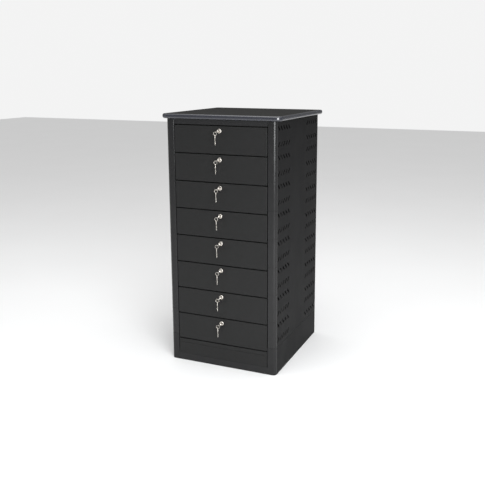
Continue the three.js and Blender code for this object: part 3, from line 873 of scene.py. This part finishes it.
def split_ring(name, centre):
    """Two turns of wire side by side, with both ends cut square."""
    steps, section = 112, 12
    rings = []
    for i in range(steps + 1):
        turn = i / steps
        angle = 4 * math.pi * turn + 0.8
        lean = (turn - 0.5) * 2 * WIRE_DEEP
        out = Vector((math.cos(angle), 0, math.sin(angle)))
        middle = centre + out * RING_R + Vector((0, lean, 0))
        rings.append([middle + out * WIRE_TALL * math.cos(a) + Vector((0, WIRE_DEEP * math.sin(a), 0))
                      for a in (2 * math.pi * j / section for j in range(section))])
    bm = bmesh.new()
    made = skin(bm, rings)
    bm.faces.new(made[0])
    bm.faces.new(made[-1])
    return finish_mesh(name, bm, [key_nickel], 50)


def build_keys(row):
    centre = lock_centre(row)
    lying = Matrix(((0, 1, 0, 0), (-1, 0, 0, -SHOULDER), (0, 0, 1, 0), (0, 0, 0, 1)))
    placing = Matrix.Translation(centre) @ Matrix.Rotation(KEY_TILT, 4, "Y") @ lying
    key = build_key(f"lock_{row}_key", placing)
    hang_on(key, f"lock_{row}", "nickel_plate", f"drawer_{row}_key")

    swing = Vector(joint(f"spare_key_{row}_swing")["pos_m"])
    ring_middle = swing - Vector((0, 0, RING_DROP))
    hang_on(split_ring(f"ring_{row}", ring_middle), f"spare_key_{row}", "nickel_plate")
    lift = -RING_R + WIRE_TALL - RING_SLOT_AT - RING_SLOT_R
    upright = Matrix(((0, 0, 1, 0), (0, 1, 0, 0), (1, 0, 0, lift), (0, 0, 0, 1)))
    twisted = Matrix.Translation(ring_middle) @ Matrix.Rotation(SPARE_TWIST, 4, "Z") @ upright
    spare = build_key(f"spare_{row}", twisted)
    return hang_on(spare, f"spare_key_{row}", "nickel_plate", f"drawer_{row}_spare_key")


for row in DRAWERS:
    build_keys(row)
print("keys and rings are in place")

# %% [markdown]
# ## The room
# The chest stands on a plain pale floor. It is one large sheet with a faint grain, far wider than the view.

# %% Floor
def pale_floor():
    material, tree, shader = start_material("pale floor")
    grain = use(tree, grain_group, hills_per_metre=220.0, waves_per_metre=1.5)
    tone = blend_colour(tree, grain["Waves"], (0.90, 0.90, 0.90), (0.93, 0.93, 0.93))
    tree.links.new(tone, shader.inputs["Base Color"])
    shader.inputs["Roughness"].default_value = 0.85
    shader.inputs["Specular IOR Level"].default_value = 0.2
    return material


FLOOR_HALF = 12.0
bm = bmesh.new()
bmesh.ops.create_grid(bm, x_segments=8, y_segments=8, size=FLOOR_HALF)
floor = finish_mesh("floor", bm, [pale_floor()])
print("floor is", round(2 * FLOOR_HALF), "m wide")

# %% [markdown]
# ## The lights
# Soft light has no hard shadow edges, so every lamp is large. The right box is the main one: it is what the round
# post and the worktop edge mirror. The world is bright to look at but lights the chest only a little.

# %% Lights
def soft_box(name, place, aim, width, height, power, colour=(1, 1, 1)):
    light = bpy.data.lights.new(name, "AREA")
    light.shape = "RECTANGLE"
    light.size, light.size_y = width, height
    light.energy = power
    light.color = colour
    lamp = bpy.data.objects.new(name, light)
    lamp.location = place
    lamp.visible_camera = False
    lamp.rotation_mode = "QUATERNION"
    lamp.rotation_quaternion = (Vector(aim) - Vector(place)).to_track_quat("-Z", "Y")
    bpy.context.scene.collection.objects.link(lamp)


soft_box("overhead", (0.2, -0.6, 3.8), (0, 0, 0.4), 3.4, 3.4, 60)
soft_box("right soft box", (1.75, -2.15, 1.30), (0, 0, 0.75), 1.5, 1.5, 75, (0.97, 0.99, 1.0))
soft_box("left soft box", (-2.8, -2.6, 1.6), (0, 0, 0.5), 1.4, 2.2, 6, (0.93, 0.96, 1.0))
sun = bpy.data.lights.new("ceiling glow", "SUN")
sun.energy = 1.5
sun.angle = math.radians(100)
glow = bpy.data.objects.new("ceiling glow", sun)
bpy.context.scene.collection.objects.link(glow)
world = bpy.data.worlds.new("studio")
world.use_nodes = True
sky = world.node_tree.nodes["Background"]
sky.inputs["Color"].default_value = (1.0, 1.0, 1.0, 1.0)
seen = add(world.node_tree, "ShaderNodeLightPath").outputs["Is Camera Ray"]
backdrop = math_node(world.node_tree, "MULTIPLY", seen, 0.72)
world.node_tree.links.new(math_node(world.node_tree, "ADD", backdrop, 0.18), sky.inputs["Strength"])
bpy.context.scene.world = world
bpy.context.scene.view_settings.view_transform = "Standard"

# %% [markdown]
# ## The camera
# The eye stands a little above the worktop and to the right of the chest, with a normal lens, looking slightly
# down. A small shift places the chest in the frame.

# %% Camera
EYE = Vector((1.1644, -2.3586 + face_y, 1.2203))
TURN = 0.3921
DIP = 0.1982
camera_data = bpy.data.cameras.new("camera")
camera_data.lens = 49.36
camera_data.shift_x = -0.0438
camera_data.shift_y = -0.0760
camera = bpy.data.objects.new("camera", camera_data)
camera.location = EYE
looking = Vector((-math.sin(TURN) * math.cos(DIP), math.cos(TURN) * math.cos(DIP), -math.sin(DIP)))
camera.rotation_mode = "QUATERNION"
camera.rotation_quaternion = looking.to_track_quat("-Z", "Y")
bpy.context.scene.collection.objects.link(camera)
bpy.context.scene.camera = camera
print(f"lens {camera_data.lens} mm, eye {EYE.z:.2f} m above the floor")
